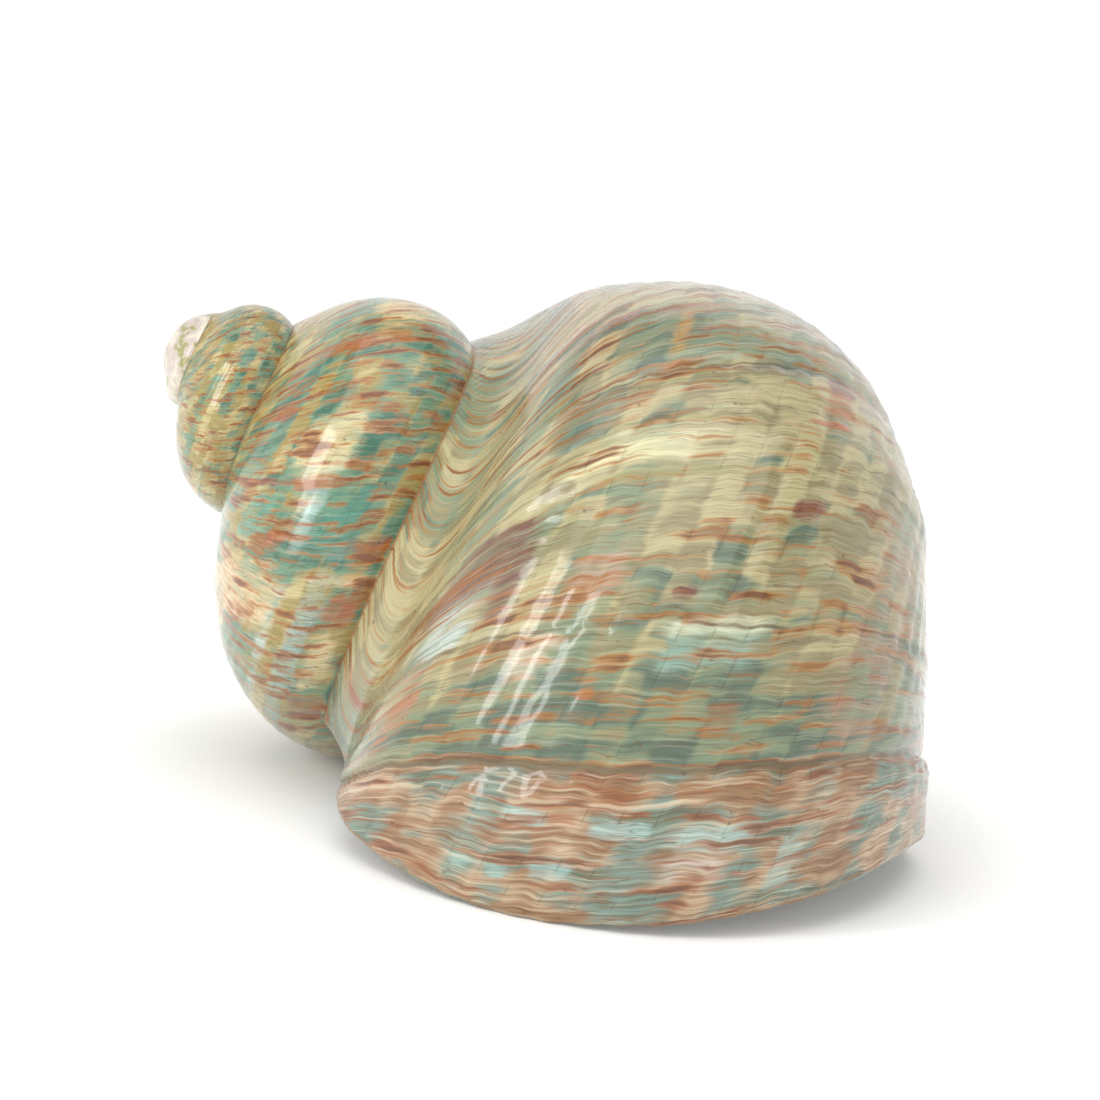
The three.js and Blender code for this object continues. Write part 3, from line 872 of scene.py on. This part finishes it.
rib_step = calc("ADD", calc("FLOOR", cell_rib), ramp_node(calc("FRACT", cell_rib), *RISER))
rib_step = weighted(rib_step, (0.75, calc("MULTIPLY", on_strip, calc("SUBTRACT", cell_rib, rib_step))))
by_line = add("ShaderNodeCombineXYZ", {"X": slow, "Y": where}).outputs[0]
by_rib = add("ShaderNodeCombineXYZ", {"X": slow, "Y": rib_step}).outputs[0]
print(len(nodes), "nodes so far")

# %% [markdown]
# ## Noises of the pigment
#
# The pigment varies at several scales at once. At the lip a radian of growth is
# about 75 mm, the outline about 170 mm and a rib 5 mm, which gives the sizes
# in the comments. The attribute "leaning" tips the balance of the colours.

# %% Outside: noises of the pigment
zone = stretched(by_line, 3, 9, 1, 11)             # 25 by 19 mm
cell = stretched(by_rib, 11, 0.80, 1, 12)          # 7 mm long, a little more than a rib wide
column = stretched(by_rib, 0.9, 0.83, 0, 13)       # a rib's own leaning, held for about a radian
band = stretched(by_line, 20, 8, 3, 14)            # 4 by 21 mm
streak = stretched(by_rib, 28, 0.60, 1, 15)        # 3 mm by more than a rib
swell = stretched(by_line, 40, 8, 3, 16)           # 2 by 21 mm
patch = stretched(by_rib, 7, 0.7, 1, 17)           # 11 mm by more than a rib
lean = add("ShaderNodeAttribute", attribute_name="leaning")
leans = add("ShaderNodeSeparateColor", {"Color": lean.outputs["Color"]})
green_lean, brown_lean, cream_lean = (leans.outputs[n] for n in range(3))
print(len(nodes), "nodes so far")

# %% [markdown]
# ## How much of each pigment
#
# Each cover is a weighted sum of noises, cut between two levels: below the
# first there is none of that pigment, and above the second all of it.

# %% Outside: cover of each pigment
green_sum = weighted(green_lean, (0.25, zone), (0.2, cell), (0.35, band), (0.2, column))
deep_sum = weighted(green_lean, (0.25, zone), (0.35, cell), (0.4, band))
cream_sum = weighted(cream_lean, (0.45, patch), (0.35, band), (0.2, swell))
stain = weighted(brown_lean, (0.3, streak), (0.5, swell), (0.2, band))
green = ramp_node(green_sum, 0.95, 1.06)
deep = ramp_node(deep_sum, 1.02, 1.14)
cream = ramp_node(cream_sum, 0.96, 1.08)
warm, dark = ramp_node(stain, 1.01, 1.11), ramp_node(stain, 1.075, 1.17)
print(len(nodes), "nodes so far")

# %% [markdown]
# ## Laying the colours down
#
# The six tones change from the spire's to the body's to the strip's, and are
# laid one over another, palest first. Single marks go under the brown stains,
# and are broken up by the same noises, so they look grown and not stamped.

# %% Outside: colours
ground, pale_tone, green_tone, deep_tone, warm_tone, dark_tone = (
    blend(blend(body, spire, early), strip, on_strip)
    for body, spire, strip in zip(PALETTES["body"], PALETTES["spire"], PALETTES["strip"]))
colour = blend(ground, pale_tone, cream)
colour = blend(colour, green_tone, green)
colour = blend(colour, deep_tone, calc("MULTIPLY", deep, 0.85))
mark = add("ShaderNodeAttribute", attribute_name="mark")
mark_here = ramp_node(weighted(mark.outputs["Alpha"], (0.8, swell), (0.6, cell)), 1.0, 1.4)
mottle = ramp_node(weighted(0.0, (0.5, band), (0.5, swell)), 0.40, 0.54)
mark_here = calc("MULTIPLY", mark_here, weighted(0.45, (0.45, mottle)))
colour = blend(colour, mark.outputs["Color"], mark_here)
colour = blend(colour, warm_tone, calc("MULTIPLY", warm, 0.75))
colour = blend(colour, dark_tone, calc("MULTIPLY", dark, 0.80))
print(len(nodes), "nodes so far")

# %% [markdown]
# ## Fine growth lines
#
# Real growth lines can be a tenth of a millimetre apart, too fine to show here.
# These are drawn 0.6 and 0.25 mm apart, with dark and pale ones. Contours of two coarser noises give the thin
# brown lines that wander across the ribs, and a faint grey line of painted shade lies in the dip between two
# ribs.

# %% Outside: fine growth lines
fine = stretched(by_line, 130, 12, 2, 21)          # 0.6 mm
hair = stretched(by_line, 300, 22, 1, 22)          # 0.25 mm
fine_amount = weighted(0.10, (0.25, on_strip), (0.12, off_ramp))
fine_lines = calc("MULTIPLY", ramp_node(fine, 0.50, 0.68), fine_amount)
pale_amount = weighted(0.12, (0.16, on_strip))
pale_lines = calc("MULTIPLY", calc("SUBTRACT", 1.0, ramp_node(fine, 0.30, 0.44)), pale_amount)
colour = blend(colour, "#a8845e", fine_lines, "MULTIPLY")
colour = blend(colour, "#eadfc2", pale_lines)
colour = blend(colour, "#a08c72", calc("MULTIPLY", ramp_node(hair, 0.52, 0.72), 0.25), "MULTIPLY")
contour = near_to(stretched(by_line, 90, 7, 1, 23), 0.5, 0.0, 0.03)
contour_amount = weighted(0.06, (0.12, off_ramp), (0.25, on_strip))
colour = blend(colour, "#8f5c30", calc("MULTIPLY", contour, contour_amount))
contour = near_to(stretched(by_line, 30, 4, 3, 24), 0.5, 0.0, 0.012)
colour = blend(colour, "#5f3c20", calc("MULTIPLY", contour, weighted(0.10, (0.45, off_ramp))))
# Painted shade: a faint grey darkening in the dip between two ribs.
rib_dip_shade = near_to(calc("FRACT", calc("ADD", rib, 0.5)), 0.0, 0.02, 0.10)
rib_dip_shade_amount = calc("MULTIPLY", ramp_node(band, 0.45, 0.65), 0.35)
rib_dip_shade_here = calc("MULTIPLY", calc("MULTIPLY", rib_dip_shade, off_ramp), rib_dip_shade_amount)
colour = blend(colour, "#8d9a8a", rib_dip_shade_here, "MULTIPLY")
print(len(nodes), "nodes so far")

# %% [markdown]
# ## Ledges, crest, groove and suture
#
# Each step of the relief that can be felt gets a line. The brown line under the ledges, the dark one in the
# halt groove and the brown one in the suture are painted shade, and a cream line runs along the crest of the
# strip.

# %% Outside: ledges, crest, groove and suture
CREST, GROOVE = -0.045, -0.112           # growth times
broken = ramp_node(stretched(by_line, 3, 12, 0, 26), 0.42, 0.52)
# Painted shade: a dark brown line under each ledge.
for level, rise in LEDGES[:3]:
    ledge_shade_line = calc("MULTIPLY", calc("MULTIPLY", near_to(wave, level, 0.001, 0.006), broken), off_ramp)
    colour = blend(colour, "#5c4430", calc("MULTIPLY", ledge_shade_line, 0.6))
crest_broken = ramp_node(stretched(by_line, 4, 20, 0, 25), 0.34, 0.50)
crest = calc("MULTIPLY", near_to(wave, CREST, 0.001, 0.009), crest_broken)
crest = calc("MULTIPLY", crest, calc("SUBTRACT", 1.0, ramp_node(where, 0.5, 0.6)))
# Painted shade: a dark line in the halt groove.
colour = blend(colour, "#5f5a40", calc("MULTIPLY", near_to(wave, GROOVE, 0.002, 0.012), 0.7))
colour = blend(colour, "#d9c4a4", calc("MULTIPLY", crest, 0.55))
# Painted shade: a brown line in the suture.
colour = blend(colour, "#8c5434", calc("MULTIPLY", near_to(where, 0.0, 0.002, 0.008), 0.7))
print(len(nodes), "nodes so far")

# %% [markdown]
# ## Worn cap and pits
#
# The cap has lost its pigment and is pale, with a few greenish stains. Pinholes, where something once bored
# into the shell, are scattered thinly: a Voronoi pattern has a point in each 3 mm cell, and about one cell in
# five gets a pit. The dark brown in each pit is painted shade of the hole.

# %% Outside: worn cap and pits
SPECKS, PITS = 420.0, 330.0              # lumps and cells to a metre
place_on = add("ShaderNodeTexCoord").outputs["Object"]
specks = add("ShaderNodeTexNoise", {"Vector": place_on, "Scale": SPECKS, "Detail": 2.0}).outputs[0]
chalk = blend("#d8d0be", "#c4b6aa", ramp_node(specks, 0.35, 0.5))
worn_colour = blend(chalk, "#9a9760", ramp_node(specks, 0.54, 0.62))
colour = blend(colour, worn_colour, lean.outputs["Alpha"])
pits = add("ShaderNodeTexVoronoi", {"Vector": place_on, "Scale": PITS})
chosen = add("ShaderNodeSeparateColor", {"Color": pits.outputs["Color"]}).outputs[0]
hole = calc("SUBTRACT", 1.0, ramp_node(pits.outputs["Distance"], 0.05, 0.11))
pit = calc("MULTIPLY", hole, ramp_node(chosen, 0.80, 0.82))
# Painted shade: dark brown in each pit.
colour = blend(colour, "#5a4632", calc("MULTIPLY", pit, 0.6))
print(len(nodes), "nodes so far")

# %% [markdown]
# ## Gloss
#
# Polished aragonite bends light by 1.53 at least, so it shines like stone.
# Buffing leaves it silky between the growth lines and glassy on top, which a
# fairly rough base under a smooth coat gives: the eye sees a soft sheen with
# crisp lights in it. The bump is 0.15 mm high at half strength, enough to
# break those lights along the growth lines.

# %% Outside: gloss
BUMP_HEIGHT = 0.00015                    # metres
relief_height = weighted(fine, (0.8, swell), (-1.5, pit))
bump_node = add("ShaderNodeBump", {"Height": relief_height, "Strength": 0.5, "Distance": BUMP_HEIGHT})
rough = weighted(0.24, (0.18, on_strip), (0.12, ramp_node(band, 0.45, 0.6)))
surface = add("ShaderNodeBsdfPrincipled", {
    "Base Color": colour, "Roughness": rough, "IOR": 1.53, "Normal": bump_node.outputs[0],
    "Specular IOR Level": 0.28, "Coat Weight": 0.65, "Coat Roughness": 0.11, "Coat IOR": 1.5})
add("ShaderNodeOutputMaterial", {"Surface": surface.outputs["BSDF"]})
shell.data.materials.append(skin_material)
print(len(skin_material.node_tree.nodes), "nodes outside")

# %% [markdown]
# ## The inside: nacre
#
# Nacre, or mother of pearl, is thin sheets of aragonite laid down like bricks.
# Light that comes back from many sheets interferes, so the eye sees a pale
# surface whose tint changes from pink to green as it turns. A thin film in
# the shader does that, over a soft cloud of three pale colours.

# %% Inside: nacre
CLOUDS = 45.0                            # lumps to a metre: 22 mm
FILM_NANOMETRES = 420.0
nacre = new_material("nacre")
place_on = add("ShaderNodeTexCoord").outputs["Object"]
cloud = add("ShaderNodeTexNoise", {"Vector": place_on, "Scale": CLOUDS, "Detail": 2.0}).outputs[0]
layers = add("ShaderNodeUVMap", uv_map="growth").outputs["UV"]
steps = stretched(layers, 90, 3, 2, 31)
pearl = blend("#e6dccd", "#cdd8d0", ramp_node(cloud, 0.42, 0.62))
pearl = blend(pearl, "#dcc3b6", calc("MULTIPLY", ramp_node(steps, 0.5, 0.7), 0.5))
ripple = add("ShaderNodeBump", {"Height": steps, "Strength": 0.3, "Distance": 0.0002})
surface = add("ShaderNodeBsdfPrincipled", {
    "Base Color": pearl, "Roughness": 0.25, "IOR": 1.6, "Normal": ripple.outputs[0],
    "Coat Weight": 0.4, "Coat Roughness": 0.1,
    "Thin Film Thickness": FILM_NANOMETRES, "Thin Film IOR": 1.4})
add("ShaderNodeOutputMaterial", {"Surface": surface.outputs["BSDF"]})
shell.data.materials.append(nacre)
print(len(nacre.node_tree.nodes), "nodes inside")

# %% [markdown]
# ## Where the nacre starts
#
# The ground lip cuts through the layers, so its front shows the coloured outer
# layer and nacre begins behind it. The fan at the cavity's end is nacre too.

# %% Which faces are nacre
NACRE_FROM = 4                           # rings of the rounded lip that show the outer layers
is_nacre = np.zeros(len(tris), np.int32)
is_nacre[len(outer_tri):len(outer_tri) + len(inner_tri)] = ring_row.max(1) > NACRE_FROM
is_nacre[-len(end_rim):] = 1
shell.data.polygons.foreach_set("material_index", is_nacre)
print(f"{is_nacre.mean():.0%} of the faces are nacre")

# %% [markdown]
# ## White paper
#
# The shell stands on matt white paper. Near it the paper takes its light from
# the lamps, so it can hold a shadow. Further out it gives off its own light
# and fades to even white, as paper does that is lit from behind.

# %% White paper
GLOW_NEAR, GLOW_ROUND, GLOW_FAR = 0.08, 0.26, 0.71       # strengths that add up, going outwards
ROUND_FROM, ROUND_TO, FAR_FROM, FAR_TO = 0.045, 0.10, 0.25, 0.6      # metres from the middle
white = new_material("white paper")
spot = add("ShaderNodeTexCoord")
far = add("ShaderNodeVectorMath", {0: spot.outputs["Object"]}, operation="LENGTH").outputs["Value"]
away = ramp_node(far, FAR_FROM, FAR_TO)
glow = weighted(GLOW_NEAR, (GLOW_ROUND, ramp_node(far, ROUND_FROM, ROUND_TO)), (GLOW_FAR, away))
paper = add("ShaderNodeBsdfPrincipled", {
    "Base Color": blend("#efefed", "#000000", away), "Roughness": 0.9, "Specular IOR Level": 0.0,
    "Emission Color": (1, 1, 1, 1), "Emission Strength": glow})
add("ShaderNodeOutputMaterial", {"Surface": paper.outputs["BSDF"]})
white.cycles.emission_sampling = "NONE"  # too even and too large to be worth aiming light rays at
print(len(nodes), "nodes of paper")

# %% [markdown]
# ## The sweep
#
# A studio's paper runs flat under the object and then curves up, so no
# edge shows behind it. Here it curves up all round: one profile turned about
# the vertical, and a polygon to close the middle.

# %% Floor
FLAT, SWEEP, TOP = 0.75, 0.6, 1.2        # metres: flat disc, then a quarter round, then a wall
HOLE, MIDWAY = 0.02, 0.3                 # radii of the closing polygon and of one ring more
SIDES, SWEEP_STEPS = 96, 12
turn = np.linspace(0, TAU, SIDES + 1)[:-1]
bend = np.linspace(0, math.pi / 2, SWEEP_STEPS + 1)
radius = np.concatenate([[HOLE, MIDWAY, FLAT], FLAT + SWEEP * np.sin(bend[1:]), [FLAT + SWEEP]])
level = np.concatenate([[0, 0, 0], SWEEP * (1 - np.cos(bend[1:])), [TOP]])
disc = np.stack([radius[:, None] * np.cos(turn), radius[:, None] * np.sin(turn),
                 level[:, None] + 0 * turn], -1).reshape(-1, 3)
ring, side = np.meshgrid(np.arange(len(radius) - 1), np.arange(SIDES), indexing="ij")
after = (side + 1) % SIDES
quads = np.stack([ring * SIDES + side, (ring + 1) * SIDES + side,
                  (ring + 1) * SIDES + after, ring * SIDES + after], -1).reshape(-1, 4)
floor_mesh = bpy.data.meshes.new("floor")
floor_mesh.from_pydata(disc.tolist(), [], quads.tolist() + [list(range(SIDES))])
floor_mesh.shade_smooth()
floor_mesh.materials.append(white)
floor = bpy.data.objects.new("floor", floor_mesh)
bpy.context.scene.collection.objects.link(floor)
print(len(floor_mesh.polygons), "faces of floor")

# %% [markdown]
# ## Light from all round
#
# Plain white light from everywhere keeps the shadows soft and open. It is weak,
# because the paper adds light of its own.

# %% World
WORLD_STRENGTH = 0.30
world = bpy.data.worlds.new("studio")
world.use_nodes = True
world.node_tree.nodes["Background"].inputs["Color"].default_value = (1, 1, 1, 1)
world.node_tree.nodes["Background"].inputs["Strength"].default_value = WORLD_STRENGTH
bpy.context.scene.world = world
print("world strength", WORLD_STRENGTH)

# %% [markdown]
# ## Soft boxes
#
# A broad box overhead models the whorls. A narrow one, low on the left, makes
# the slanting bars of light on the last whorl: a polished shell shows the
# shape of the lamp, drawn out along its curve.

# %% Soft boxes
LAMP_TARGET = (0, 0, 0.04)               # metres: about the middle of the shell


def aim(thing, where, back, up):
    """Places an object at a point with its local Z along back and Y near up."""
    z = np.array(back, float) / np.linalg.norm(back)
    x = np.cross(up, z)
    x /= np.linalg.norm(x)
    y = np.cross(z, x)
    m = np.eye(4)
    m[:3, 0], m[:3, 1], m[:3, 2], m[:3, 3] = x, y, z, where
    thing.matrix_world = Matrix(m.tolist())


def softbox(name, azimuth, elevation, distance, width, height, power):
    """An area light at an angle about the shell, facing its middle. Azimuth 0
    is the camera's side and -90 is the left."""
    a, e = math.radians(azimuth), math.radians(elevation)
    way = np.array([math.sin(a) * math.cos(e), -math.cos(a) * math.cos(e), math.sin(e)])
    light = bpy.data.lights.new(name, "AREA")
    light.shape, light.size, light.size_y, light.energy = "RECTANGLE", width, height, power
    lamp = bpy.data.objects.new(name, light)
    aim(lamp, way * distance + LAMP_TARGET, way, (0, 0, 1))
    bpy.context.scene.collection.objects.link(lamp)
    return lamp


softbox("top", azimuth=-15, elevation=80, distance=0.9, width=1.1, height=1.1, power=6.3)
softbox("window", azimuth=-58, elevation=24, distance=0.65, width=0.13, height=0.45, power=1.5)
print([light.name for light in bpy.data.lights])

# %% [markdown]
# ## Camera
#
# The camera looks slightly down from close by, with a long lens. Its place is
# given from the apex, in millimetres, because the apex is a point that is easy
# to find on the real shell too.

# %% Camera
EYE_FROM_APEX = np.array([62.0, -452.2, 52.9])
CAMERA_DOWN, CAMERA_ROLL = math.radians(10.36), math.radians(5.17)
LENS, SENSOR = 102.3, 36                 # millimetres
NEAR, FAR = 0.01, 20                     # metres
back = np.array([0, -math.cos(CAMERA_DOWN), math.sin(CAMERA_DOWN)])
upright = np.array([0, math.sin(CAMERA_DOWN), math.cos(CAMERA_DOWN)])
up = upright * math.cos(CAMERA_ROLL) - np.array([1, 0, 0]) * math.sin(CAMERA_ROLL)
cam = bpy.data.cameras.new("camera")
cam.lens, cam.sensor_width = LENS, SENSOR
cam.clip_start, cam.clip_end = NEAR, FAR
camera = bpy.data.objects.new("camera", cam)
aim(camera, (apex + EYE_FROM_APEX) * MM, back, up)
bpy.context.scene.collection.objects.link(camera)
bpy.context.scene.camera = camera
bpy.context.scene.view_settings.view_transform = "Standard"
print("camera at", np.round(np.array(camera.matrix_world.translation), 3).tolist())
